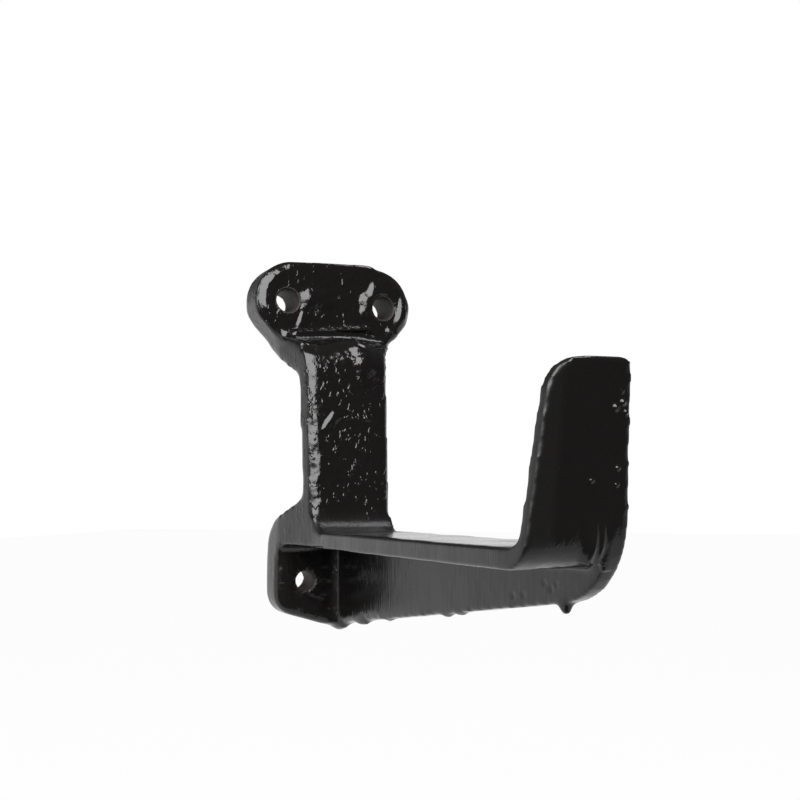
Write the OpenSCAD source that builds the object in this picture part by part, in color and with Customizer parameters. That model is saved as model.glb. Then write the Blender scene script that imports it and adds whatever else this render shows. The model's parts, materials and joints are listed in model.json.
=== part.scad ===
// Cast-iron gutter bracket, made in one piece. A flat head with two screws and a lug with
// one screw bear on the wall. A shank stands off the wall between them, and an arm carries
// the gutter: a flange with a deep web under one side, turned up at its front end.
//
// Millimetres. The origin is on the wall, midway between the two head screws. X runs along
// the wall to the right, Y runs into the wall and Z is up, so the casting lies at negative Y.

/* [Gutter seat] */
// Clear length of the seat, from the shank to the foot of the upstand
seat_l = 125; // [90:1:160]
// Depth of the seat below the head screws
seat_drop = 82; // [72:1:110]
// Width of the shank and the flange
strap_w = 30; // [26:0.5:34]
// Thickness of the flange
flange_t = 5.6; // [4:0.2:7]
// Radius in the corner between the shank and the seat
heel_r = 8; // [4:0.5:12]
// Radius inside the front bend
bend_inner_r = 5; // [2:0.5:9]
// Radius outside the front bend
bend_outer_r = 10; // [6:0.5:12]

/* [Upstand] */
// Height of the upstand above the seat, at its right corner
upstand_h = 46; // [30:1:60]
// Height by which the upstand's top falls to its left corner
upstand_fall = 1.3; // [0:0.1:3]
// Thickness of the upstand
upstand_t = 3.6; // [3:0.2:6]
// Angle by which the upstand leans outwards
upstand_lean = 9.1; // [0:0.1:14]
// Angle by which each side of the upstand tapers
upstand_taper = 4; // [0:0.1:6]
// Radius of the upstand's left top corner
upstand_left_r = 9.5; // [1:0.5:11]
// Radius of the upstand's right top corner
upstand_right_r = 3; // [1:0.5:9]

/* [Shank] */
// Thickness of the shank
shank_t = 7.4; // [5:0.2:9]
// Distance from the wall to the front of the shank, at the seat
stand_off = 34.6; // [30:0.2:42]
// Angle by which the shank leans to the wall as it rises
shank_lean = 2.8; // [0:0.1:5]
// Distance from the middle of the head to the middle of the shank
shank_shift = 2.3; // [0:0.1:4]

/* [Head] */
// Width of the head
head_w = 61.2; // [56:0.2:70]
// Thickness of the head
head_t = 14.4; // [9:0.2:16]
// Height of the head's top above its screws, at its left end
head_top = 14; // [14:0.2:20]
// Height by which the top rises from there to the right
head_rise = 2.1; // [0:0.1:3]
// Height of the step down from the top to the right end
head_step = 1.2; // [0.8:0.1:2]
// Radius of the head's ends
head_end_r = 14.5; // [8:0.5:15]
// Height of the straight flank below the screws before the head narrows
head_flank = 4.5; // [2:0.5:8]
// Distance between the two head screws
screw_pitch = 38; // [32:1:42]
// Diameter of the head's screw holes
head_hole_d = 9; // [6:0.1:11]

/* [Neck] */
// Depth of the crease under the head's front face, below the screws
crease_drop = 12.6; // [10:0.2:16]
// Height over which the neck's front comes forward to the shank
neck_front_h = 12.8; // [9:0.2:18]
// Depth of the neck's back edge at the wall, below the screws
neck_back_drop = 15.7; // [12:0.2:19]
// Height over which the neck's back comes forward to the shank
neck_back_h = 13; // [8:0.2:18]
// Slope of the flanks along which the head narrows to the shank
flank_slope = 47; // [40:1:52]
// Radius where the head narrows to the shank
neck_r = 9; // [3:0.5:12]

/* [Lug] */
// Thickness of the lug
lug_t = 11.7; // [9:0.1:14]
// Depth of the lug's outer corner below the seat
lug_drop = 28.5; // [24:0.5:34]
// Angle by which the lug's lower edge falls to the web
lug_fall = 16.5; // [0:0.5:18]
// Radius of the lug's outer corner
lug_corner_r = 8; // [3:0.5:10]
// Distance by which the lug flares beyond the shank
lug_flare = 3.9; // [0:0.1:6]
// Diameter of the lug's screw hole
lug_hole_d = 8.5; // [6:0.1:10]
// Distance from the middle of the shank to the lug's screw
lug_hole_side = 7.9; // [6.5:0.1:9]
// Depth of the lug's screw below the seat
lug_hole_drop = 18.2; // [15:0.1:20]
// Height behind the shank at which its foot starts
foot_h = 11.4; // [8:0.2:16]
// Height of the foot's top where its slope meets the wall
foot_wall_h = 0.9; // [0:0.1:4]
// Radius over the foot at the wall
foot_wall_r = 14; // [6:0.5:16]

/* [Web] */
// Depth of the web below the seat, at the wall
web_wall_h = 35.5; // [30:0.5:40]
// Depth of the web below the seat, under the front bend
web_front_h = 12.8; // [9:0.2:16]
// Thickness of the web at the lug
web_wall_t = 10.3; // [8:0.1:12]
// Thickness of the web at the front bend
web_front_t = 5.5; // [4:0.1:8]
// Radius of the web round the front bend
web_bend_r = 24; // [12:0.5:26]

/* [Hidden] */

arc_angle = 10;
hole_fn = 64;
cut_margin = 1;
edge_r = 2;
crease_r = 1.5;
neck_blend_r = 10;
neck_hollow_r = 6;
foot_hollow_r = 4;
fillet_r = 3;
tip_r = 1.4;
taper_blend_r = 20;
flank_ratio = 0.9;
ridge_h = 36;
ridge_rise = 0.6;
step_inset = 0.2;

crest_z = head_top + head_rise;
seat_z = -seat_drop;
strap_left = -shank_shift - strap_w / 2;
strap_right = -shank_shift + strap_w / 2;
seat_back_y = -stand_off;
seat_front_y = seat_back_y - seat_l;
flange_z = seat_z - flange_t;
lug_left = strap_left - lug_flare;
lug_hole_x = -shank_shift - lug_hole_side;
lug_hole_z = seat_z - lug_hole_drop;
floor_z = seat_z - web_wall_h - cut_margin;
upstand_z = seat_z + upstand_h;
split_y = seat_back_y - heel_r - cut_margin;
front_y = seat_front_y - upstand_h - upstand_t;

// Plane of the shank's front face, and of the upstand's inner face, at a height.
function shank_y(z) = seat_back_y + (z - seat_z) * tan(shank_lean);
function upstand_y(z) = seat_front_y - (z - seat_z) * tan(upstand_lean);

// Height of a flank of the head, at a distance in from the head's end.
function flank_z(inset) = -head_flank - inset * tan(flank_slope);

// The web's lower edge rises from the wall to its corner below the front bend.
web_front_z = seat_z - web_front_h;
web_corner_y = upstand_y(web_front_z) - upstand_t - ridge_rise;
function web_edge_z(y) = seat_z - web_wall_h + (web_wall_h - web_front_h) * y / web_corner_y;

// A polygon with each corner rounded: corners are [u, v, radius], in order round the shape.
function unit(v) = v / norm(v);
function corner_arc(before, at, after) = at[2] == 0 ? [[at.x, at.y]] :
    let (
        a = unit([before.x - at.x, before.y - at.y]),
        b = unit([after.x - at.x, after.y - at.y]),
        half = acos(a * b) / 2,
        reach = at[2] / tan(half),
        centre = [at.x, at.y] + unit(a + b) * at[2] / sin(half),
        from = [at.x, at.y] + a * reach - centre,
        turn = (a.x * b.y - a.y * b.x > 0 ? -1 : 1) * (180 - 2 * half),
        steps = max(1, ceil(abs(turn) / arc_angle))
    )
    [for (i = [0 : steps])
        let (t = turn * i / steps)
        centre + [from.x * cos(t) - from.y * sin(t), from.x * sin(t) + from.y * cos(t)]];
function rounded(corners) =
    let (n = len(corners))
    [for (i = [0 : n - 1])
        each corner_arc(corners[(i + n - 1) % n], corners[i], corners[(i + 1) % n])];

// Extrusions of a drawing seen from the side (Y, Z), from the front (X, Z) and from above.
module from_side(x0, x1) {
    translate([x0, 0, 0])
        rotate([90, 0, 90])
            linear_extrude(x1 - x0) children();
}
module from_front(y0, y1) {
    translate([0, y1, 0])
        rotate([90, 0, 0])
            linear_extrude(y1 - y0) children();
}
module from_above(z0, z1) {
    translate([0, 0, z0])
        linear_extrude(z1 - z0) children();
}

// The whole bent strap seen from the side: head, neck, shank, seat, upstand, lug and foot.
module strap_side() {
    crease_z = -crease_drop;
    foot_z = seat_z + foot_h;
    neck_front_z = crease_z - neck_front_h;
    neck_back_z = -neck_back_drop - neck_back_h;
    polygon(rounded([
        [0, crest_z, edge_r],
        [-head_t, crest_z, edge_r],
        [-head_t, crease_z, crease_r],
        [shank_y(neck_front_z), neck_front_z, neck_blend_r],
        [seat_back_y, seat_z, heel_r],
        [seat_front_y, seat_z, bend_inner_r],
        [upstand_y(upstand_z), upstand_z, tip_r],
        [upstand_y(upstand_z) - upstand_t, upstand_z, tip_r],
        [upstand_y(flange_z) - upstand_t, flange_z, bend_outer_r],
        [-lug_t, flange_z, fillet_r],
        [-lug_t, web_edge_z(-lug_t), 0],
        [0, web_edge_z(0), 0],
        [0, seat_z + foot_wall_h, foot_wall_r],
        [shank_y(foot_z) + shank_t, foot_z, foot_hollow_r],
        [shank_y(neck_back_z) + shank_t, neck_back_z, neck_hollow_r],
        [0, -neck_back_drop, crease_r]
    ]));
}

// The head from the front, with its flanks narrowing to the shank below.
module head_front() {
    half = head_w / 2;
    step_x = half - head_end_r - step_inset;
    right_top = crest_z - head_step;
    left_z = flank_z(half + strap_left);
    right_z = flank_z(half - strap_right);
    tail_z = right_z - neck_r - neck_front_h;
    flank_room = min(head_top, right_top) - head_end_r + head_flank;
    flank_r = flank_ratio * flank_room / tan((90 - flank_slope) / 2);
    polygon(rounded([
        [-half, head_top, head_end_r],
        [-half, -head_flank, flank_r],
        [strap_left, left_z, neck_r],
        [strap_left, tail_z, 0],
        [strap_right, tail_z, 0],
        [strap_right, right_z, neck_r],
        [half, -head_flank, flank_r],
        [half, right_top, head_end_r],
        [step_x, right_top, 0],
        [step_x - head_step, crest_z, tip_r]
    ]));
}

// The shank, foot and lug from above: the left side flares from the shank to the lug.
module shank_plan() {
    polygon([
        [strap_left, split_y],
        [strap_right, split_y],
        [strap_right, 0],
        [lug_left, 0],
        [lug_left, -lug_t],
        [strap_left, seat_back_y]
    ]);
}

// The shank and lug from the front: the lower edge falls from the outer corner to the web.
module shank_front(top_z) {
    corner_z = seat_z - lug_drop;
    fall = (strap_right - lug_left) * tan(lug_fall);
    polygon(rounded([
        [lug_left, top_z, 0],
        [lug_left, corner_z, lug_corner_r],
        [strap_right, corner_z - fall, 0],
        [strap_right, top_z, 0]
    ]));
}

// The flange and upstand from the front: the upstand tapers to rounded top corners.
module upstand_front() {
    inset = upstand_h * tan(upstand_taper);
    polygon(rounded([
        [strap_left, flange_z - cut_margin, 0],
        [strap_left, seat_z, taper_blend_r],
        [strap_left + inset, upstand_z - upstand_fall, upstand_left_r],
        [strap_right - inset, upstand_z, upstand_right_r],
        [strap_right, seat_z, taper_blend_r],
        [strap_right, flange_z - cut_margin, 0]
    ]));
}

// The web seen from the side: its edge rises to the front, wraps round the outside of the
// bend and fades into the upstand as a low ridge.
module web_side() {
    web_z = seat_z - flange_t / 2;
    ridge_z = seat_z + ridge_h;
    back_y = -lug_t / 2;
    polygon(rounded([
        [back_y, web_z, 0],
        [back_y, web_edge_z(-lug_t) + cut_margin, 0],
        [-lug_t, web_edge_z(-lug_t), 0],
        [web_corner_y, web_front_z, web_bend_r],
        [upstand_y(ridge_z) - upstand_t, ridge_z, 0],
        [upstand_y(ridge_z) - upstand_t / 2, ridge_z - ridge_rise, 0],
        [upstand_y(web_z) - upstand_t / 2, web_z, 0]
    ]));
}

// The web from above: it thins towards the front, with a fillet where it leaves the lug.
module web_plan() {
    wall_x = strap_right - web_wall_t;
    front_x = strap_right - web_front_t;
    polygon(rounded([
        [strap_right, 0, 0],
        [wall_x - 2 * fillet_r, 0, 0],
        [wall_x - 2 * fillet_r, -lug_t, 0],
        [wall_x, -lug_t, fillet_r],
        [front_x, seat_front_y, 0],
        [front_x, front_y, 0],
        [strap_right, front_y, 0]
    ]));
}

// The ridge up the upstand, from the front: it follows the tapered edge.
module ridge_front() {
    inset = upstand_h * tan(upstand_taper);
    polygon([
        [strap_right - web_front_t, seat_z],
        [strap_right, seat_z],
        [strap_right - inset, upstand_z],
        [strap_right - inset - web_front_t, upstand_z]
    ]);
}

module rear() {
    join_z = flank_z(head_w / 2 + lug_left);
    intersection() {
        from_side(-head_w, head_w) strap_side();
        union() {
            from_front(split_y, cut_margin) head_front();
            intersection() {
                from_above(floor_z, join_z) shank_plan();
                from_front(split_y, cut_margin) shank_front(join_z);
            }
        }
    }
}

module arm() {
    intersection() {
        from_side(strap_left, strap_right) strap_side();
        from_front(front_y, split_y) upstand_front();
    }
}

module web() {
    intersection() {
        from_side(strap_left, strap_right) web_side();
        union() {
            from_above(floor_z, seat_z) web_plan();
            from_front(front_y, seat_front_y) ridge_front();
        }
    }
}

module screw_hole(x, z, d, depth) {
    translate([x, cut_margin, z])
        rotate([90, 0, 0])
            cylinder(h = depth + 2 * cut_margin, d = d, $fn = hole_fn);
}

module bracket() {
    color([0.03, 0.03, 0.032])
        difference() {
            union() {
                rear();
                arm();
                web();
            }
            for (side = [-1, 1])
                screw_hole(side * screw_pitch / 2, 0, head_hole_d, head_t);
            screw_hole(lug_hole_x, lug_hole_z, lug_hole_d, lug_t);
        }
}

bracket();
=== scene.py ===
"""A cast-iron gutter bracket under thick gloss black paint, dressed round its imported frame."""

import json
import math

import bmesh
import bpy
from mathutils import Matrix, Vector, noise
from mathutils.bvhtree import BVHTree
from mathutils.kdtree import KDTree


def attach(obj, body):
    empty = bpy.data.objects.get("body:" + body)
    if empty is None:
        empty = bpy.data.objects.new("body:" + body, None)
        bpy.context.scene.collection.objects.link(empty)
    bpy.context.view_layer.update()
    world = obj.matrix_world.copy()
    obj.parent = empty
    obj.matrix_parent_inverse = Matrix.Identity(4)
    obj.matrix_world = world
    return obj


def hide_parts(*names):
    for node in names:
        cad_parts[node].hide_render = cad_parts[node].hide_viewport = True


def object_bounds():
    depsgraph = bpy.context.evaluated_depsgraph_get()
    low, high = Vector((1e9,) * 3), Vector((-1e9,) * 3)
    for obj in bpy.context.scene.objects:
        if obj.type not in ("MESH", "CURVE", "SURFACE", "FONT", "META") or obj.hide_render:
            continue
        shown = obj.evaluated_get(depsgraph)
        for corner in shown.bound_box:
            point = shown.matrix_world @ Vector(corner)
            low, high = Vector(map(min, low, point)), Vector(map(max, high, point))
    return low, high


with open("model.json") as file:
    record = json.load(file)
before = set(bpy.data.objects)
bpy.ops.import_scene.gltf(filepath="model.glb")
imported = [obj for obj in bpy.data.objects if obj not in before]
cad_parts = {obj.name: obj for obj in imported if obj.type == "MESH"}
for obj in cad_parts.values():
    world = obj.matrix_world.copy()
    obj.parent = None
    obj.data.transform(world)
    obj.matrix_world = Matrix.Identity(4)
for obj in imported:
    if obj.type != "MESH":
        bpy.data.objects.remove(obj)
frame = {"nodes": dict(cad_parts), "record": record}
CAD_LOW, CAD_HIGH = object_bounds()

bl_info = {
    "name": "Gutter bracket",
    "version": (1, 0, 0),
    "blender": (4, 5, 0),
    "location": "3D View > Sidebar > Gutter bracket",
    "description": "Paints a cast-iron gutter bracket and lights it in a small studio",
    "category": "Object",
}

MM = 0.001
BODY = "root"

# Places on the casting, in the frame: the seat's height comes from the gutter seat's mount.
MOUNTS = {mount["name"]: mount for mount in frame["record"]["mounts"]}
SEAT_Z = MOUNTS["gutter_seat"]["pos_m"][2]
SEAT_FRONT = -159.6 * MM
SHANK_FRONT = -34.6 * MM
LUG_FRONT = -16 * MM
CREASE_Z = -12.6 * MM
SEAT_FILLET = 5 * MM
FLANGE_DEPTH = 9 * MM

# How far in front of the shank its paint may stand, how far forward the edges of the sides are
# rounded further, and how far the lug stays clear of the web.
SHANK_PAINT = 5 * MM
SIDE_REACH = 8 * MM
LUG_CLEAR = 3 * MM

# The y of a face's normal, -1 straight ahead: a front that its edges are rounded on, the most
# that a side has beside it, the least of the sides and the back, the fronts that take finer
# marks, and those that are smoothed after their faces are halved.
FRONT_NORMAL = -0.6
SIDE_NORMAL = 0.5
BACK_NORMAL = -0.5
FINE_NORMAL = -0.2
FLAT_NORMAL = -0.5
FINE_PASSES = 2

# How far a face has to turn to the front, 1 straight ahead, for the marks on the shank, for the
# folds on the bend and for the lumps to start and to be full, and to the left for the pits.
SHANK_FACING = (0.3, 0.8)
WRAP_FACING = (0.2, 0.6)
LUG_FACING = (0.5, 0.95)
UPRIGHT_FACING = (0.7, 0.98)
WEB_NORMAL = -0.8

# The web's left face, at the wall and at the seat's front end.
WEB_LEFT_WALL = 2.4 * MM
WEB_LEFT_FRONT = 7.2 * MM

# Axes and radii of the screw holes: x, z and radius.
PITCH = MOUNTS["head_screws"]["dims"]["spacing_x_mm"] * MM / 2
HEAD_HOLE_R = MOUNTS["head_screws"]["dims"]["hole_r_mm"] * MM
LUG_HOLE_R = MOUNTS["lug_screw"]["dims"]["r_mm"] * MM
LUG_X, _, LUG_Z = MOUNTS["lug_screw"]["pos_m"]
BORES = ((-PITCH, 0.0, HEAD_HOLE_R), (PITCH, 0.0, HEAD_HOLE_R), (LUG_X, LUG_Z, LUG_HOLE_R))

# Distances from the wall of a screw hole: where the waves on the front start, the ring that
# isn't rounded and where those waves are full, what takes the film of paint, and where the dull
# paint ends in the head's holes and in the lug's, which also has a film this much thicker.
BORE_RIM = 0.2 * MM
BORE_RING = 1.2 * MM
FILM_GAP = 0.4 * MM
HEAD_DULL_GAP = 0.35 * MM
LUG_DULL_GAP = -0.1 * MM
LUG_FILM = 2.2

# Lumps of paint under the web: distance from the wall and radius in mm, and stretch. They and
# the drip hang this far inside the web's left face, and a lump's middle is raised into the web
# by a share of its radius.
WEB_LUMPS = ((8, 3.4, 1.8), (27, 2.4, 2.0), (47, 1.3, 2.4), (84, 1.6, 2.2), (92, 1.5, 2.0))
WEB_INSET = 2 * MM
LUMP_SINK = 0.3

# The drip under the web: its place, radius at the root and length below the web, the share of
# the radius at its point, and as shares of its length, its middle's depth and its full height
# with what lies in the web.
DRIP_Y = -143 * MM
DRIP_RADIUS = 2.6 * MM
DRIP_LENGTH = 3.0 * MM
DRIP_POINT = 0.35
DRIP_DROP = 0.35
DRIP_SPAN = 1.3

# The neck's shoulder. Its top and its foot are points in the plane of y and z. The straight
# slope between them fills out by the fill, with a wave across it, from a little in front of the
# slope to the depth behind it. The fill leans to the foot by a power, and the peak is the
# height of that plain curve.
NECK_FOOT_Z = -25.4 * MM
NECK_TOP = Vector((-14.4, -12.6)) * MM
NECK_FOOT = Vector((SHANK_FRONT, NECK_FOOT_Z))
NECK_FILL = 5.0 * MM
NECK_WAVE = 1.5 * MM
NECK_WAVE_LENGTH = 27.0 * MM
NECK_DEPTH = 9.0 * MM
NECK_SKIN = 2 * MM
NECK_LEAN = 1.5
NECK_PEAK = 0.186

# Share of the front edges' reach on the head, low on the shank, and round onto the sides, and
# the depths below the head between which the shank's share sets in.
HEAD_SHARE = 0.4
FOOT_SHARE = 0.55
SIDE_SHARE = 0.25
FOOT_START = 38 * MM
FOOT_FULL = 60 * MM

# The straight top of the head stays crisp: heights at which that starts and is full, and the
# distances from the middle at which it starts to end and has ended.
CRISP_START = 4 * MM
CRISP_FULL = 10 * MM
CRISP_INNER = 10 * MM
CRISP_OUTER = 26 * MM

# Waves in the fronts: crest x, z, steep side's width, half height, lift in mm, and slant. Each
# falls away over a longer tail. Those on the neck also fade slowly upwards, and only show on
# its front.
FRONT_WAVES = (
    (-10.8, 1.0, 4.4, 4.8, 1.5, 0.25),
    (-14.0, -7.0, 1.8, 4.5, 0.65, 0.4),
    (13.5, 3.0, 4.4, 8.5, 1.5, 0.3),
    (26.5, -1.0, 2.4, 7.5, 1.0, 0.25),
    (22.5, -9.5, 2.6, 3.0, 1.0, 0.0),
    (2.6, -23.5, 4.6, 9.0, 1.4, 0.0),
    (-10.5, -44.0, 2.0, 4.2, 0.8, 0.7),
)
WAVE_TAIL = 2.5
WAVE_WANDER = 0.5
WANDER_SIZE = 5.0
NECK_WAVE_RISE = 2.5
NECK_WAVE_START = 17 * MM
NECK_WAVE_FULL = 24 * MM

# The fold of paint that crosses under the head, in mm: half length, rise to the right, place
# above the crease, height, thickness and wander, where it bends down and how steeply, and the
# lengths over which its ends fade.
FOLD_HALF = 19.0
FOLD_RISE = 0.135
FOLD_ABOVE = 0.2
FOLD_HEIGHT = 1.2
FOLD_THICK = 1.2
FOLD_WANDER = 0.25
FOLD_BEND = 11.5
FOLD_DROOP = 0.6
FOLD_LEFT_END = 3.0
FOLD_RIGHT_END = (15.0, 18.5)

# Folds of paint where the web wraps the front bend, in mm: the broad one's place, width and
# height, the two fine ones' places, thickness and height, and the depths at which all set in.
WRAP_LEFT = -3 * MM
WRAP_PLACE = 3.0
WRAP_WIDTH = 4.0
WRAP_HEIGHT = 0.8
WRAP_FOLDS = (2.6, 5.0)
WRAP_FOLD_THICK = 0.5
WRAP_FOLD_HEIGHT = 0.3
WRAP_START = 72.0
WRAP_FULL = 84.0

# Spots of paint on the upstand: x, z, radius and lift in mm, and a factor on the lift.
UPSTAND_SPOTS = (
    (5.6, -48.5, 1.3, 0.5),
    (7.6, -47.2, 1.2, 0.5),
    (8.8, -49.5, 1.0, 0.45),
    (7.0, -44.6, 0.8, 0.3),
    (7.6, -63.0, 0.9, 0.4),
    (7.6, -67.0, 0.8, 0.35),
    (0.2, -66.0, 0.9, 0.35),
)
SPOT_LIFT = 1.6

# Small pits in the web's left face: y, z, half length, half height and depth in mm.
WEB_PITS = (
    (-122.0, -97.0, 1.9, 0.9, 0.5),
    (-126.8, -96.4, 1.5, 0.8, 0.45),
    (-136.5, -92.6, 1.2, 0.8, 0.45),
    (-139.2, -93.8, 1.5, 0.9, 0.5),
    (-141.6, -92.6, 1.1, 0.8, 0.45),
)

# Sizes in mm of the slow swells and of the coarse and fine lumps that the sand left, and the
# share of the lumps' depth on the sides, with what the lug's and the shank's fronts add to it.
SWELL_SIZE = 11.0
LUMP_SIZE = 3.2
FINE_LUMP_SIZE = 1.7
FINE_LUMP_SHIFT = Vector((7, 3, 5))
LUMP_SHARE = 0.3
LUG_LUMPS = 1.7
UPRIGHT_LUMPS = 1.2

# Grains of the paint: how closely the pits and the streaks lie, and the streaks' stretch. A
# small factor on z draws them out downwards.
PIT_SCALE = 800.0
STREAK_SCALE = 900.0
STREAK_STRETCH = (1.0, 1.0, 0.12)

# The sand specks of the head and the shank: how closely they lie, their turn and stretch, the
# part of the noise that makes a speck, and the patches that they gather in.
SPECK_SCALE = 500.0
SPECK_TURN = math.radians(35)
SPECK_STRETCH = (1.0, 1.0, 0.6)
SPECK_TOPS = (0.53, 0.73)
PATCH_SCALE = 110.0
PATCH_SPAN = (0.42, 0.6, 0.35)

# Where the specks show less: an axis, the places where they are least and where they are full,
# and the least share. They also thin out round the shoulder.
SPECK_FADES = (
    ("Y", SHANK_FRONT - 6 * MM, SHANK_FRONT - 3 * MM, 0.0),
    ("Z", 5 * MM, -3 * MM, 0.5),
    ("X", 9 * MM, 3 * MM, 0.55),
    ("Z", SEAT_Z + 5 * MM, SEAT_Z + 11 * MM, 0.3),
)
SHOULDER_Z = -16 * MM
SHOULDER_FADE = (4 * MM, 7 * MM, 0.12)

# Where the paint dried duller: a zone's name, and for each of its sides an axis and the places
# where the dulling starts and is full.
DULL_ZONES = (
    (
        "Heel",
        (
            ("Z", SEAT_Z + 10 * MM, SEAT_Z + 7 * MM),
            ("Z", SEAT_Z - 1 * MM, SEAT_Z),
            ("Y", -56 * MM, -50 * MM),
            ("Y", -34 * MM, -36 * MM),
        ),
    ),
    ("Edge", (("X", -8 * MM, -11 * MM), ("Y", -148 * MM, -152 * MM))),
)

# The room: how far the middle of its white back lies to the left of straight behind, the width
# of the back's soft edge, and the heights at which it starts to darken and is dark.
BACK_TURN = math.radians(15)
BACK_EDGE = 0.1
DARK_START = 0.05
DARK_FULL = 0.38

# The floor: half its width, its turn and the middle of its near edge, its brightness in
# reflections from near to far, painted darker towards the front as painted shade, and the share
# of its light that no shadow dims.
FLOOR_HALF = 4.0
FLOOR_TURN = math.radians(-38)
FLOOR_PLACE = (0.158, -0.353, -0.35)
FLOOR_NEAR_Y = -0.35
FLOOR_FAR_Y = 0.1
FLOOR_NEAR_SHADED_GLOW = 0.5
FLOOR_SHARE = 0.97

# The dull paint inside the screw holes: roughness, shine, and the scale and depth of its grain.
BORE_ROUGHNESS = 0.55
BORE_SHINE = 0.25
BORE_GRAIN_SCALE = 900.0
BORE_GRAIN_DEPTH = 0.2 * MM

# The lamps stand this far from a point in the middle of the bracket.
LAMP_DISTANCE = 1.2
LAMP_TARGET = Vector((0, 0, -50 * MM))


# ---------------------------------------------------------------- settings


class CastingSettings(bpy.types.PropertyGroup):
    """Sizes of the painted skin over the casting, in metres."""

    grain: bpy.props.FloatProperty(
        name="Mesh size",
        description="Edge of one face of the painted skin",
        default=0.75 * MM,
        unit="LENGTH",
    )
    edge_passes: bpy.props.IntProperty(
        name="Edge rounding",
        description="Smoothing passes that round the casting's edges under the paint",
        default=3,
    )
    back_passes: bpy.props.IntProperty(
        name="Back edge rounding",
        description="Further passes round the edges of the sides and the back",
        default=14,
    )
    front_passes: bpy.props.IntProperty(
        name="Front edge rounding",
        description="Further passes round the front edges of the head, the shank and the lug",
        default=60,
    )
    edge_reach: bpy.props.FloatProperty(
        name="Front edge reach",
        description="Distance from those edges within which the skin is rounded",
        default=6.5 * MM,
        unit="LENGTH",
    )
    bore_film: bpy.props.FloatProperty(
        name="Film in the bores",
        description="Thickness of the paint inside the screw holes",
        default=0.35 * MM,
        unit="LENGTH",
    )
    relief: bpy.props.FloatProperty(
        name="Relief",
        description="Factor on the waves and folds of the front faces",
        default=1.0,
    )
    swell: bpy.props.FloatProperty(
        name="Swell",
        description="Depth of the slow waves in the cast faces",
        default=0.16 * MM,
        unit="LENGTH",
    )
    lump: bpy.props.FloatProperty(
        name="Lumps",
        description="Depth of the lumps that the sand left on the front faces",
        default=0.11 * MM,
        unit="LENGTH",
    )


class PaintSettings(bpy.types.PropertyGroup):
    """The gloss black paint."""

    colour: bpy.props.FloatVectorProperty(
        name="Paint colour",
        description="Colour of the paint",
        subtype="COLOR",
        size=3,
        default=(0.0045, 0.004, 0.0038),
    )
    bore_colour: bpy.props.FloatVectorProperty(
        name="Colour in the bores",
        description="Colour of the thin dull paint inside the screw holes",
        subtype="COLOR",
        size=3,
        default=(0.024, 0.019, 0.017),
    )
    gloss: bpy.props.FloatProperty(
        name="Roughness",
        description="Roughness of the paint film",
        default=0.12,
        min=0.0,
        max=1.0,
    )
    side_gloss: bpy.props.FloatProperty(
        name="Side roughness",
        description="Roughness of the paint film on the side faces",
        default=0.22,
        min=0.0,
        max=1.0,
    )
    pit_depth: bpy.props.FloatProperty(
        name="Pit depth",
        description="Depth of the fine pitting under the paint",
        default=0.08 * MM,
        unit="LENGTH",
    )
    speck_depth: bpy.props.FloatProperty(
        name="Speck depth",
        description="Height of the sand grains under the paint of the head and shank",
        default=0.33 * MM,
        unit="LENGTH",
    )
    streak_depth: bpy.props.FloatProperty(
        name="Streak depth",
        description="Depth of the brush streaks down the side faces",
        default=0.1 * MM,
        unit="LENGTH",
    )


class StudioSettings(bpy.types.PropertyGroup):
    """The camera, the lamps and the pale room."""

    turn: bpy.props.FloatProperty(
        name="Camera turn",
        description="Angle of the view round the bracket, from straight ahead",
        default=math.radians(27.05),
        subtype="ANGLE",
    )
    rise: bpy.props.FloatProperty(
        name="Camera rise",
        description="Angle at which the camera looks up",
        default=math.radians(4.944),
        subtype="ANGLE",
    )
    roll: bpy.props.FloatProperty(
        name="Camera roll",
        description="Angle by which the camera leans to one side",
        default=math.radians(0.08),
        subtype="ANGLE",
    )
    distance: bpy.props.FloatProperty(
        name="Camera distance",
        description="Distance from the camera to the point that it aims at",
        default=0.4,
        unit="LENGTH",
    )
    aim: bpy.props.FloatVectorProperty(
        name="Aim",
        description="Point that the camera aims at",
        subtype="TRANSLATION",
        size=3,
        default=(0.0222, -0.0221, -0.0349),
    )
    lens: bpy.props.FloatProperty(
        name="Lens",
        description="Focal length in millimetres, on a sensor 36 mm wide",
        default=48.99,
    )
    dark_front: bpy.props.FloatProperty(
        name="Front of the room",
        description="Brightness of the room behind the camera, beside a white back of 1",
        default=0.09,
    )
    floor_colour: bpy.props.FloatVectorProperty(
        name="Floor colour",
        description="Colour of the pale floor",
        subtype="COLOR",
        size=3,
        default=(0.9, 0.9, 0.9),
    )
    left_light: bpy.props.FloatProperty(
        name="Left soft box",
        description="Brightness of the large soft box on the left",
        default=7.5,
    )
    window_light: bpy.props.FloatProperty(
        name="Window",
        description="Brightness of the small window high on the right",
        default=5.5,
    )


# ---------------------------------------------------------------- casting


def fade(value, low, high):
    """Rises smoothly from 0 at low to 1 at high."""
    share = min(1.0, max(0.0, (value - low) / (high - low)))
    return share * share * (3.0 - 2.0 * share)


def web_side(y):
    """Where the web's left face lies, at a place along the arm."""
    return WEB_LEFT_WALL + (WEB_LEFT_FRONT - WEB_LEFT_WALL) * min(1.0, y / SEAT_FRONT)


def lower_edge(tree, y):
    """The point on the underside of the web that paint hangs from, at a place along the arm."""
    start = Vector((web_side(y) + WEB_INSET, y, CAD_LOW[2] - 10 * MM))
    hit = tree.ray_cast(start, Vector((0, 0, 1)))[0]
    if hit is None:
        raise RuntimeError(f"nothing above y {y:.4f} to hang paint on")
    return hit


def add_lump(skin, tree, y, radius, stretch):
    """A lump of paint, longer along the arm than it is high, under the web's edge."""
    centre = lower_edge(tree, y) + Vector((0, 0, radius * LUMP_SINK))
    place = Matrix.Translation(centre) @ Matrix.Diagonal((1, stretch, 1, 1))
    bmesh.ops.create_icosphere(skin, subdivisions=3, radius=radius, matrix=place)


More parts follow.
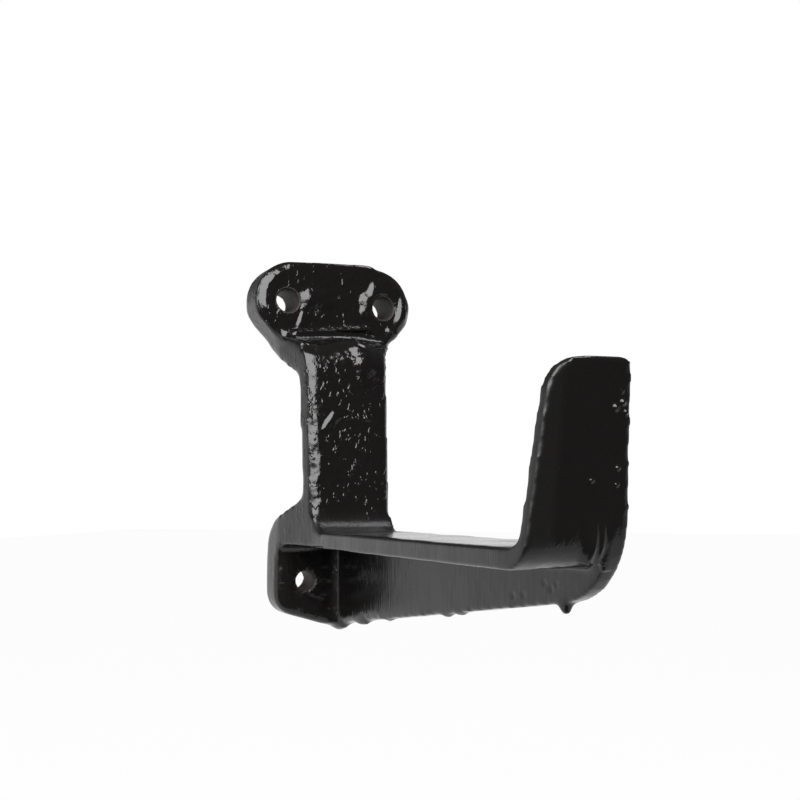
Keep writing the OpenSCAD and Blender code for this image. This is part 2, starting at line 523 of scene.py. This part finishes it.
def add_drip(skin, tree):
    """A hanging drip of paint that runs to a blunt point."""
    root = lower_edge(tree, DRIP_Y)
    bmesh.ops.create_cone(
        skin,
        cap_ends=True,
        segments=20,
        radius1=DRIP_RADIUS * DRIP_POINT,
        radius2=DRIP_RADIUS,
        depth=DRIP_LENGTH * DRIP_SPAN,
        matrix=Matrix.Translation(root + Vector((0, 0, -DRIP_LENGTH * DRIP_DROP))),
    )


def skin_mesh(settings):
    """The casting's closed mesh with its drips, remeshed evenly."""
    skin = bmesh.new()
    skin.from_mesh(frame["nodes"]["bracket"].data)
    bmesh.ops.remove_doubles(skin, verts=skin.verts, dist=0.01 * MM)
    tree = BVHTree.FromBMesh(skin)
    for along, radius, stretch in WEB_LUMPS:
        add_lump(skin, tree, -along * MM, radius * MM, stretch)
    add_drip(skin, tree)
    mesh = bpy.data.meshes.new("skin_rough")
    skin.to_mesh(mesh)
    skin.free()
    rough = bpy.data.objects.new("skin_rough", mesh)
    bpy.context.scene.collection.objects.link(rough)
    remesh = rough.modifiers.new("Even skin", "REMESH")
    remesh.mode = "VOXEL"
    remesh.voxel_size = settings.grain
    depsgraph = bpy.context.evaluated_depsgraph_get()
    even = bpy.data.meshes.new_from_object(rough.evaluated_get(depsgraph))
    bpy.data.objects.remove(rough)
    bpy.data.meshes.remove(mesh)
    return even


def smooth(skin, verts, passes):
    """Smooths some verts of the skin, which rounds the edges that they lie on."""
    for _ in range(passes):
        bmesh.ops.smooth_vert(
            skin, verts=verts, factor=0.5, use_axis_x=True, use_axis_y=True, use_axis_z=True
        )


def smooth_off_top(skin, verts, passes):
    """Smooths some verts, and less and less towards the straight top of the head."""
    before = [vert.co.copy() for vert in verts]
    smooth(skin, verts, passes)
    for vert, place in zip(verts, before):
        high = fade(place.z, CRISP_START, CRISP_FULL)
        crisp = high * (1.0 - fade(abs(place.x), CRISP_INNER, CRISP_OUTER))
        vert.co = vert.co.lerp(place, crisp)


def tree_of(verts):
    """A tree for finding the nearest of some verts."""
    tree = KDTree(len(verts))
    for index, vert in enumerate(verts):
        tree.insert(vert.co, index)
    tree.balance()
    return tree


def bore_gap(place):
    """Distance from a place to the wall of the nearest screw hole, less than 0 inside."""
    return min(math.hypot(place.x - x, place.z - z) - radius for x, z, radius in BORES)


def is_upright(place):
    """True on the head, the neck and the shank, above the fillet at the seat."""
    return place.z > SEAT_Z + SEAT_FILLET and place.y > SHANK_FRONT - SHANK_PAINT


def is_lug(place):
    """True on the lug, below the flange and left of the web."""
    left = place.x < WEB_LEFT_WALL - LUG_CLEAR
    return place.z < SEAT_Z - FLANGE_DEPTH and place.y > LUG_FRONT and left


def front_edges(skin, is_here, reach):
    """The verts within reach of the edges between the front faces and the side faces."""
    fronts, sides = [], []
    for vert in skin.verts:
        if not is_here(vert.co) or bore_gap(vert.co) < BORE_RING:
            continue
        if vert.normal.y < FRONT_NORMAL:
            fronts.append(vert)
        elif vert.normal.y < SIDE_NORMAL:
            sides.append(vert)
    to_front, to_side = tree_of(fronts), tree_of(sides)
    near = []
    for vert in fronts:
        low = fade(-vert.co.z, FOOT_START, FOOT_FULL)
        wide = reach * (1.0 - low + low * FOOT_SHARE)
        if vert.co.z > CREASE_Z:
            wide = reach * HEAD_SHARE
        if to_side.find(vert.co)[2] < wide:
            near.append(vert)
    near += [vert for vert in sides if to_front.find(vert.co)[2] < reach * SIDE_SHARE]
    return near


def sides_and_back(skin):
    """The verts of the sides and the back near the wall, clear of the screw holes."""
    return [
        vert
        for vert in skin.verts
        if vert.normal.y > BACK_NORMAL
        and vert.co.y > SHANK_FRONT - SIDE_REACH
        and bore_gap(vert.co) > BORE_RING
    ]


def fill_neck(skin):
    """Fills out the slope of the neck to a rounded shoulder, higher in the middle."""
    run = NECK_FOOT - NECK_TOP
    along = run.normalized()
    out = Vector((along.y, -along.x))
    for vert in skin.verts:
        place = Vector((vert.co.y, vert.co.z)) - NECK_TOP
        share = place.dot(along) / run.length
        depth = -place.dot(out)
        if not 0.0 < share < 1.0 or not -NECK_SKIN < depth < NECK_DEPTH:
            continue
        wave = NECK_WAVE * math.cos(math.tau * vert.co.x / NECK_WAVE_LENGTH)
        bulge = share**NECK_LEAN * (1.0 - share) / NECK_PEAK
        move = (NECK_FILL + wave) * bulge * (1.0 - fade(depth, 0.0, NECK_DEPTH))
        vert.co += Vector((0.0, out.x, out.y)) * move


def is_wrap(place):
    """True where the web wraps the front bend and fades up the upstand."""
    return place.y < SEAT_FRONT and place.x > WRAP_LEFT


def refine(skin):
    """Halves the faces on the fronts, so that they can take finer marks."""
    near = set()
    for vert in skin.verts:
        if vert.normal.y < FINE_NORMAL and (is_upright(vert.co) or is_wrap(vert.co)):
            near.add(vert)
    edges = [edge for edge in skin.edges if edge.verts[0] in near and edge.verts[1] in near]
    bmesh.ops.subdivide_edges(skin, edges=edges, cuts=1, use_grid_fill=True)
    skin.normal_update()
    inner = [vert for vert in near if vert.is_valid and vert.normal.y < FLAT_NORMAL]
    inner += [edge.other_vert(vert) for vert in inner for edge in vert.link_edges]
    smooth(skin, list(dict.fromkeys(inner)), FINE_PASSES)


def flank(across):
    """Height of a wave that rises steeply from the left and falls slowly to the right."""
    if across < -1.0 or across > WAVE_TAIL:
        return 0.0
    if across < 0.0:
        return 0.5 - 0.5 * math.cos(math.pi * (across + 1.0))
    return 0.5 + 0.5 * math.cos(math.pi * across / WAVE_TAIL)


def front_relief(place):
    """Height of the casting's waves, runs and folds on the fronts, in millimetres."""
    height = 0.0
    x, z = place.x / MM, place.z / MM
    wander = noise.noise(Vector((x / WANDER_SIZE, 0.0, z / WANDER_SIZE)))
    for left, level, wide, tall, lift, slant in FRONT_WAVES:
        along = (z - level) / tall
        if NECK_FOOT_Z < level * MM < CREASE_Z:
            along = along if along < 0.0 else along / NECK_WAVE_RISE
            lift *= fade(-place.y, NECK_WAVE_START, NECK_WAVE_FULL)
        if abs(along) > 1.0:
            continue
        across = (x - left - slant * (z - level) + wander * wide * WAVE_WANDER) / wide
        height += lift * flank(across) * (1.0 - along * along) ** 1.5
    return height + fold_relief(x, z, wander)


def fold_relief(x, z, wander):
    """Height of the fold of paint that crosses under the head, in millimetres."""
    along = x + FOLD_HALF
    level = CREASE_Z / MM + FOLD_ABOVE + FOLD_RISE * along + FOLD_WANDER * wander
    level -= FOLD_DROOP * max(0.0, x - FOLD_BEND)
    ends = fade(along, 0.0, FOLD_LEFT_END) * (1.0 - fade(x, *FOLD_RIGHT_END))
    return FOLD_HEIGHT * ends * math.exp(-(((z - level) / FOLD_THICK) ** 2))


def wrap_relief(place):
    """Height of the folds and spots of paint where the web wraps the bend, in mm."""
    x, z = place.x / MM, place.z / MM
    low = fade(-z, WRAP_START, WRAP_FULL)
    height = WRAP_HEIGHT * low * flank((x - WRAP_PLACE) / WRAP_WIDTH)
    for fold in WRAP_FOLDS:
        height += WRAP_FOLD_HEIGHT * low * math.exp(-(((x - fold) / WRAP_FOLD_THICK) ** 2))
    for left, level, radius, lift in UPSTAND_SPOTS:
        near = math.hypot(x - left, z - level) / radius
        if near < 1.0:
            height += SPOT_LIFT * lift * (1.0 - near * near) ** 2
    return height


def web_relief(place):
    """Depth of the small pits in the web's left face, in millimetres."""
    height = 0.0
    for along, level, half, tall, depth in WEB_PITS:
        near = math.hypot((place.y / MM - along) / half, (place.z / MM - level) / tall)
        if near < 1.0:
            height -= depth * (1.0 - near * near) ** 2
    return height


def cast_height(place, facing, settings):
    """Height of the swells and lumps of the cast face under its paint."""
    at = place / MM
    swell = noise.noise(at / SWELL_SIZE) * settings.swell
    lumps = noise.noise(at / LUMP_SIZE)
    lumps += 0.5 * noise.noise(at / FINE_LUMP_SIZE + FINE_LUMP_SHIFT)
    share = LUMP_SHARE
    if is_lug(place):
        share += LUG_LUMPS * fade(facing, *LUG_FACING)
    elif is_upright(place):
        above = fade(place.z, SEAT_Z + SEAT_FILLET, SEAT_Z + 12 * MM)
        share += UPRIGHT_LUMPS * fade(facing, *UPRIGHT_FACING) * above
    return swell + lumps * settings.lump * share


def film_height(gap, place, settings):
    """Height of the paint's film on the wall of a screw hole."""
    if gap >= FILM_GAP:
        return 0.0
    return settings.bore_film * (1.0 if place.z > SEAT_Z else LUG_FILM)


def relief_height(vert, gap, facing, settings):
    """Height of the waves, folds, spots and pits of the face that a vert lies on."""
    if facing > SHANK_FACING[0] and is_upright(vert.co):
        clear = fade(facing, *SHANK_FACING) * fade(gap, BORE_RIM, BORE_RING)
        return front_relief(vert.co) * MM * settings.relief * clear
    if facing > WRAP_FACING[0] and is_wrap(vert.co):
        return wrap_relief(vert.co) * MM * settings.relief * fade(facing, *WRAP_FACING)
    if vert.normal.x < WEB_NORMAL:
        return web_relief(vert.co) * MM * settings.relief
    return 0.0


def wave_faces(skin, settings):
    """Moves the skin out and in by the heights of the cast faces and of the paint on them."""
    skin.normal_update()
    moves = []
    for vert in skin.verts:
        facing = max(0.0, -vert.normal.y)
        gap = bore_gap(vert.co)
        height = cast_height(vert.co, facing, settings)
        height += film_height(gap, vert.co, settings)
        height += relief_height(vert, gap, facing, settings)
        moves.append(vert.normal * height)
    for vert, move in zip(skin.verts, moves):
        vert.co += move
        vert.co.y = min(vert.co.y, 0.0)


def is_bore_face(face):
    """True on the wall of a screw hole, which has the dull paint."""
    middle = face.calc_center_median()
    return bore_gap(middle) < (HEAD_DULL_GAP if middle.z > SEAT_Z else LUG_DULL_GAP)


class BRACKET_OT_casting(bpy.types.Operator):
    """Builds the painted skin of the casting"""

    bl_idname = "bracket.casting"
    bl_label = "Painted casting"

    def execute(self, context):
        settings = context.scene.bracket_casting
        mesh = skin_mesh(settings)
        skin = bmesh.new()
        skin.from_mesh(mesh)
        fill_neck(skin)
        skin.normal_update()
        upright = front_edges(skin, is_upright, settings.edge_reach)
        lug = front_edges(skin, is_lug, settings.edge_reach)
        smooth(skin, skin.verts, settings.edge_passes)
        smooth_off_top(skin, sides_and_back(skin), settings.back_passes)
        smooth_off_top(skin, upright, settings.front_passes)
        smooth(skin, lug, settings.front_passes // 2)
        skin.normal_update()
        refine(skin)
        wave_faces(skin, settings)
        for face in skin.faces:
            face.smooth = True
            if is_bore_face(face):
                face.material_index = 1
        mesh.materials.clear()
        mesh.materials.append(black_paint(context.scene.bracket_paint))
        mesh.materials.append(bore_paint(context.scene.bracket_paint))
        skin.to_mesh(mesh)
        skin.free()
        mesh.name = "painted_bracket"
        piece = bpy.data.objects.new("painted_bracket", mesh)
        context.scene.collection.objects.link(piece)
        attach(piece, BODY)
        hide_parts("bracket")
        return {"FINISHED"}


# ---------------------------------------------------------------- materials


def maths(tree, operation, first, second=None):
    """A Math node on sockets or plain numbers."""
    node = tree.nodes.new("ShaderNodeMath")
    node.operation = operation
    for socket, value in zip(node.inputs, (first, second)):
        if isinstance(value, float):
            socket.default_value = value
        elif value is not None:
            tree.links.new(value, socket)
    return node.outputs["Value"]


def ramp(tree, value, start, end, low=0.0, high=1.0):
    """Carries a value from low at start to high at end, and holds it beyond them."""
    node = tree.nodes.new("ShaderNodeMapRange")
    node.inputs["From Min"].default_value = start
    node.inputs["From Max"].default_value = end
    node.inputs["To Min"].default_value = low
    node.inputs["To Max"].default_value = high
    tree.links.new(value, node.inputs["Value"])
    return node.outputs["Result"]


def mix(tree, factor, first, second):
    """A blend of two values, each a socket or a plain number."""
    node = tree.nodes.new("ShaderNodeMix")
    node.data_type = "FLOAT"
    tree.links.new(factor, node.inputs["Factor"])
    for socket, value in zip(node.inputs[2:4], (first, second)):
        if isinstance(value, float):
            socket.default_value = value
        else:
            tree.links.new(value, socket)
    return node.outputs[0]


def object_place(tree):
    """The place on the piece, and its x, y and z by name."""
    place = tree.nodes.new("ShaderNodeTexCoord").outputs["Object"]
    return place, axes_of(tree, place)


def axes_of(tree, vector):
    """The X, Y and Z of a vector."""
    apart = tree.nodes.new("ShaderNodeSeparateXYZ")
    tree.links.new(vector, apart.inputs["Vector"])
    return apart.outputs


def noise_texture(tree, place, scale, detail=None):
    """A noise over a place, with its scale a socket or a plain number."""
    node = tree.nodes.new("ShaderNodeTexNoise")
    tree.links.new(place, node.inputs["Vector"])
    if isinstance(scale, float):
        node.inputs["Scale"].default_value = scale
    else:
        tree.links.new(scale, node.inputs["Scale"])
    if detail is not None:
        node.inputs["Detail"].default_value = detail
    return node


def bump_onto(tree, height, distance, shader):
    """Gives a shader the normals of a height that is scaled by a distance."""
    bump = tree.nodes.new("ShaderNodeBump")
    bump.inputs["Distance"].default_value = distance
    tree.links.new(height, bump.inputs["Height"])
    tree.links.new(bump.outputs["Normal"], shader.inputs["Normal"])


def add_socket(group, name, kind, way, default=None):
    """A named input or output of a node group."""
    socket = group.interface.new_socket(name, in_out=way, socket_type=kind)
    if default is not None:
        socket.default_value = default


def new_group(name, inputs, output):
    """A node group with its inputs, given as name, kind and default, and one output."""
    group = bpy.data.node_groups.new(name, "ShaderNodeTree")
    for socket in inputs:
        add_socket(group, socket[0], socket[1], "INPUT", socket[2])
    add_socket(group, output, "NodeSocketFloat", "OUTPUT")
    source = group.nodes.new("NodeGroupInput")
    result = group.nodes.new("NodeGroupOutput")
    return group, source.outputs, result.inputs[output]


def place_group(tree, group, **values):
    """A node group placed in a material, with values of its inputs by lower-case name."""
    node = tree.nodes.new("ShaderNodeGroup")
    node.node_tree = group
    for name, value in values.items():
        node.inputs[name.capitalize()].default_value = value
    return node


def grain_group():
    """Height of a grain that may be stretched along one axis, in metres."""
    group, given, height = new_group(
        "stretched_grain",
        (
            ("Depth", "NodeSocketFloat", 0.05 * MM),
            ("Stretch", "NodeSocketVector", (1, 1, 1)),
            ("Scale", "NodeSocketFloat", 400.0),
        ),
        "Height",
    )
    place, _ = object_place(group)
    stretch = group.nodes.new("ShaderNodeVectorMath")
    stretch.operation = "MULTIPLY"
    group.links.new(place, stretch.inputs[0])
    group.links.new(given["Stretch"], stretch.inputs[1])
    grain = noise_texture(group, stretch.outputs["Vector"], given["Scale"], detail=3.0)
    grain.inputs["Roughness"].default_value = 0.55
    group.links.new(maths(group, "MULTIPLY", grain.outputs["Fac"], given["Depth"]), height)
    return group


def speck_group():
    """Height of the sand grains under the paint of the head and the shank, in metres."""
    group, given, height = new_group(
        "sand_specks", (("Depth", "NodeSocketFloat", 0.1 * MM),), "Height"
    )
    place, axes = object_place(group)
    turn = group.nodes.new("ShaderNodeMapping")
    turn.inputs["Rotation"].default_value = (0, SPECK_TURN, 0)
    turn.inputs["Scale"].default_value = SPECK_STRETCH
    group.links.new(place, turn.inputs["Vector"])
    grain = noise_texture(group, turn.outputs["Vector"], SPECK_SCALE, detail=2.0)
    tops = ramp(group, grain.outputs["Fac"], *SPECK_TOPS)
    tops.node.interpolation_type = "SMOOTHSTEP"
    patches = noise_texture(group, place, PATCH_SCALE)
    masks = [tops, ramp(group, patches.outputs["Fac"], *PATCH_SPAN)]
    for axis, start, end, least in SPECK_FADES:
        masks.append(ramp(group, axes[axis], start, end, low=least))
    beside = maths(group, "ABSOLUTE", maths(group, "ADD", axes["Z"], -SHOULDER_Z))
    masks.append(ramp(group, beside, *SHOULDER_FADE))
    total = given["Depth"]
    for mask in masks:
        total = maths(group, "MULTIPLY", total, mask)
    group.links.new(total, height)
    return group


def dull_group():
    """Extra roughness where the paint dried duller: at the heel and on the upstand's edge."""
    group, given, roughness = new_group(
        "dull_zones",
        [(zone, "NodeSocketFloat", 0.2) for zone, _ in DULL_ZONES],
        "Roughness",
    )
    _, axes = object_place(group)
    total = None
    for zone, sides in DULL_ZONES:
        value = given[zone]
        for axis, start, end in sides:
            value = maths(group, "MULTIPLY", value, ramp(group, axes[axis], start, end))
        total = value if total is None else maths(group, "ADD", total, value)
    group.links.new(total, roughness)
    return group


def new_material(name):
    """An empty node material with its Principled shader and output joined."""
    material = bpy.data.materials.new(name)
    material.use_nodes = True
    tree = material.node_tree
    tree.nodes.clear()
    shader = tree.nodes.new("ShaderNodeBsdfPrincipled")
    result = tree.nodes.new("ShaderNodeOutputMaterial")
    tree.links.new(shader.outputs["BSDF"], result.inputs["Surface"])
    return material, tree, shader


def black_paint(settings):
    """Thick gloss black paint: pitted on the fronts, streaked down the sides."""
    material, tree, shader = new_material("gloss_black_paint")
    shader.inputs["Base Color"].default_value = (*settings.colour, 1)
    grain = grain_group()
    pits = place_group(tree, grain, depth=settings.pit_depth, scale=PIT_SCALE)
    streaks = place_group(
        tree,
        grain,
        depth=settings.streak_depth,
        scale=STREAK_SCALE,
        stretch=STREAK_STRETCH,
    )
    specks = place_group(tree, speck_group(), depth=settings.speck_depth)
    surface = tree.nodes.new("ShaderNodeNewGeometry")
    side = maths(tree, "ABSOLUTE", axes_of(tree, surface.outputs["True Normal"])["X"])
    cast = mix(tree, side, pits.outputs["Height"], streaks.outputs["Height"])
    height = maths(tree, "ADD", cast, specks.outputs["Height"])
    bump_onto(tree, height, 1.0, shader)
    film = ramp(tree, side, 0.0, 1.0, settings.gloss, settings.side_gloss)
    zones = place_group(tree, dull_group())
    roughness = maths(tree, "ADD", film, zones.outputs["Roughness"])
    tree.links.new(roughness, shader.inputs["Roughness"])
    return material


def bore_paint(settings):
    """The dull, thin paint inside the screw holes."""
    material, tree, shader = new_material("bore_paint")
    shader.inputs["Base Color"].default_value = (*settings.bore_colour, 1)
    shader.inputs["Roughness"].default_value = BORE_ROUGHNESS
    shader.inputs["Specular IOR Level"].default_value = BORE_SHINE
    place, _ = object_place(tree)
    grain = noise_texture(tree, place, BORE_GRAIN_SCALE)
    bump_onto(tree, grain.outputs["Fac"], BORE_GRAIN_DEPTH, shader)
    return material


# ---------------------------------------------------------------- studio


def pale_floor_material(settings):
    """White to the eye, with painted shade that dims its glow towards the front in reflections,
    and darker in the shadow.
    """
    material, tree, shader = new_material("pale_floor")
    shader.inputs["Base Color"].default_value = (*settings.floor_colour, 1)
    shader.inputs["Roughness"].default_value = 0.9
    _, axes = object_place(tree)
    # Painted shade: the floor's glow, as reflections see it, is painted dimmer towards the
    # front.
    reflected_glow_painted_shade = ramp(tree, axes["Y"], FLOOR_NEAR_Y, FLOOR_FAR_Y, low=FLOOR_NEAR_SHADED_GLOW)
    path = tree.nodes.new("ShaderNodeLightPath")
    glow = tree.nodes.new("ShaderNodeEmission")
    bright = mix(tree, path.outputs["Is Camera Ray"], reflected_glow_painted_shade, 1.0)
    tree.links.new(bright, glow.inputs["Strength"])
    seen = maths(tree, "MAXIMUM", path.outputs["Is Camera Ray"], path.outputs["Is Glossy Ray"])
    blend = tree.nodes.new("ShaderNodeMixShader")
    tree.links.new(maths(tree, "MULTIPLY", seen, FLOOR_SHARE), blend.inputs["Fac"])
    tree.links.new(shader.outputs["BSDF"], blend.inputs[1])
    tree.links.new(glow.outputs["Emission"], blend.inputs[2])
    tree.links.new(blend.outputs["Shader"], tree.nodes["Material Output"].inputs["Surface"])
    return material


def room_world(settings):
    """A white room that is dark behind the camera and above, and plain white to the eye."""
    world = bpy.data.worlds.new("pale_room")
    world.use_nodes = True
    tree = world.node_tree
    tree.nodes.clear()
    way = tree.nodes.new("ShaderNodeTexCoord").outputs["Generated"]
    turned = tree.nodes.new("ShaderNodeVectorMath")
    turned.operation = "DOT_PRODUCT"
    turned.inputs[1].default_value = (-math.sin(BACK_TURN), math.cos(BACK_TURN), 0.0)
    tree.links.new(way, turned.inputs[0])
    dark = settings.dark_front
    back = ramp(tree, turned.outputs["Value"], -BACK_EDGE, BACK_EDGE, low=dark)
    above = ramp(tree, axes_of(tree, way)["Z"], DARK_START, DARK_FULL, low=1.0, high=dark)
    path = tree.nodes.new("ShaderNodeLightPath")
    room = maths(tree, "MINIMUM", back, above)
    glow = tree.nodes.new("ShaderNodeBackground")
    glow.inputs["Color"].default_value = (1, 1, 1, 1)
    tree.links.new(mix(tree, path.outputs["Is Camera Ray"], room, 1.0), glow.inputs["Strength"])
    result = tree.nodes.new("ShaderNodeOutputWorld")
    tree.links.new(glow.outputs["Background"], result.inputs["Surface"])
    return world


def aimed(place, target):
    """A matrix at place whose -Z axis points at target and whose Y axis is upright."""
    turn = (Vector(target) - Vector(place)).to_track_quat("-Z", "Y")
    return Matrix.Translation(place) @ turn.to_matrix().to_4x4()


def soft_box(name, turn, rise, width, height, radiance, tint=(1.0, 1.0, 1.0)):
    """A rectangular lamp of given angular size: turn is to the right of straight ahead."""
    turn, rise = math.radians(turn), math.radians(rise)
    way = Vector(
        (math.sin(turn) * math.cos(rise), -math.cos(turn) * math.cos(rise), math.sin(rise))
    )
    lamp = bpy.data.lights.new(name, "AREA")
    lamp.shape = "RECTANGLE"
    lamp.size = 2 * LAMP_DISTANCE * math.tan(math.radians(width) / 2)
    lamp.size_y = 2 * LAMP_DISTANCE * math.tan(math.radians(height) / 2)
    lamp.energy = radiance * math.pi * lamp.size * lamp.size_y
    lamp.color = tint
    holder = bpy.data.objects.new(name, lamp)
    bpy.context.scene.collection.objects.link(holder)
    holder.matrix_world = aimed(LAMP_TARGET + way * LAMP_DISTANCE, LAMP_TARGET)


def set_camera(scene, settings):
    """The camera, on a line through the point that it aims at."""
    view = Vector(
        (
            math.sin(settings.turn) * math.cos(settings.rise),
            math.cos(settings.turn) * math.cos(settings.rise),
            math.sin(settings.rise),
        )
    )
    lens = bpy.data.cameras.new("camera")
    lens.sensor_width = 36.0
    lens.lens = settings.lens
    lens.clip_start = 0.01
    camera = bpy.data.objects.new("camera", lens)
    scene.collection.objects.link(camera)
    aim = Vector(settings.aim)
    lean = Matrix.Rotation(settings.roll, 4, "Z")
    camera.matrix_world = aimed(aim - view * settings.distance, aim) @ lean
    scene.camera = camera


def lay_floor(scene, settings):
    """The pale floor, well below the bracket, square to neither the camera nor the wall."""
    grid = bmesh.new()
    bmesh.ops.create_grid(grid, x_segments=1, y_segments=1, size=FLOOR_HALF)
    bmesh.ops.translate(grid, vec=(0, FLOOR_HALF, 0), verts=grid.verts)
    askew = Matrix.Rotation(FLOOR_TURN, 3, "Z")
    bmesh.ops.rotate(grid, matrix=askew, verts=grid.verts)
    bmesh.ops.translate(grid, vec=FLOOR_PLACE, verts=grid.verts)
    mesh = bpy.data.meshes.new("floor")
    grid.to_mesh(mesh)
    grid.free()
    floor = bpy.data.objects.new("floor", mesh)
    scene.collection.objects.link(floor)
    mesh.materials.append(pale_floor_material(settings))


class BRACKET_OT_studio(bpy.types.Operator):
    """Sets the camera, the lamps, the floor and the pale room"""

    bl_idname = "bracket.studio"
    bl_label = "Studio"

    def execute(self, context):
        scene = context.scene
        settings = scene.bracket_studio
        scene.view_settings.view_transform = "Standard"
        scene.world = room_world(settings)
        set_camera(scene, settings)
        lay_floor(scene, settings)
        left, window = settings.left_light, settings.window_light
        soft_box("left_box", turn=-36, rise=31.8, width=60, height=56, radiance=left)
        tint = (0.95, 0.96, 1.0)
        soft_box("window", turn=88, rise=63, width=20, height=13, radiance=window, tint=tint)
        return {"FINISHED"}


# ---------------------------------------------------------------- add-on


class BRACKET_PT_panel(bpy.types.Panel):
    """Lists the steps and their settings"""

    bl_idname = "BRACKET_PT_panel"
    bl_label = "Gutter bracket"
    bl_space_type = "VIEW_3D"
    bl_region_type = "UI"
    bl_category = "Gutter bracket"

    def draw(self, context):
        scene = context.scene
        for title, settings, step in (
            ("Paint", scene.bracket_paint, None),
            ("Casting", scene.bracket_casting, "bracket.casting"),
            ("Studio", scene.bracket_studio, "bracket.studio"),
        ):
            box = self.layout.box()
            box.label(text=title)
            for name in settings.__annotations__:
                box.prop(settings, name)
            if step:
                box.operator(step)


CLASSES = (
    CastingSettings,
    PaintSettings,
    StudioSettings,
    BRACKET_OT_casting,
    BRACKET_OT_studio,
    BRACKET_PT_panel,
)


def register():
    for cls in CLASSES:
        bpy.utils.register_class(cls)
    bpy.types.Scene.bracket_casting = bpy.props.PointerProperty(type=CastingSettings)
    bpy.types.Scene.bracket_paint = bpy.props.PointerProperty(type=PaintSettings)
    bpy.types.Scene.bracket_studio = bpy.props.PointerProperty(type=StudioSettings)


def unregister():
    del bpy.types.Scene.bracket_studio
    del bpy.types.Scene.bracket_paint
    del bpy.types.Scene.bracket_casting
    for cls in reversed(CLASSES):
        bpy.utils.unregister_class(cls)


def main():
    register()
    bpy.ops.bracket.studio()
    bpy.ops.bracket.casting()
    bpy.context.view_layer.update()


if __name__ == "__main__":
    main()
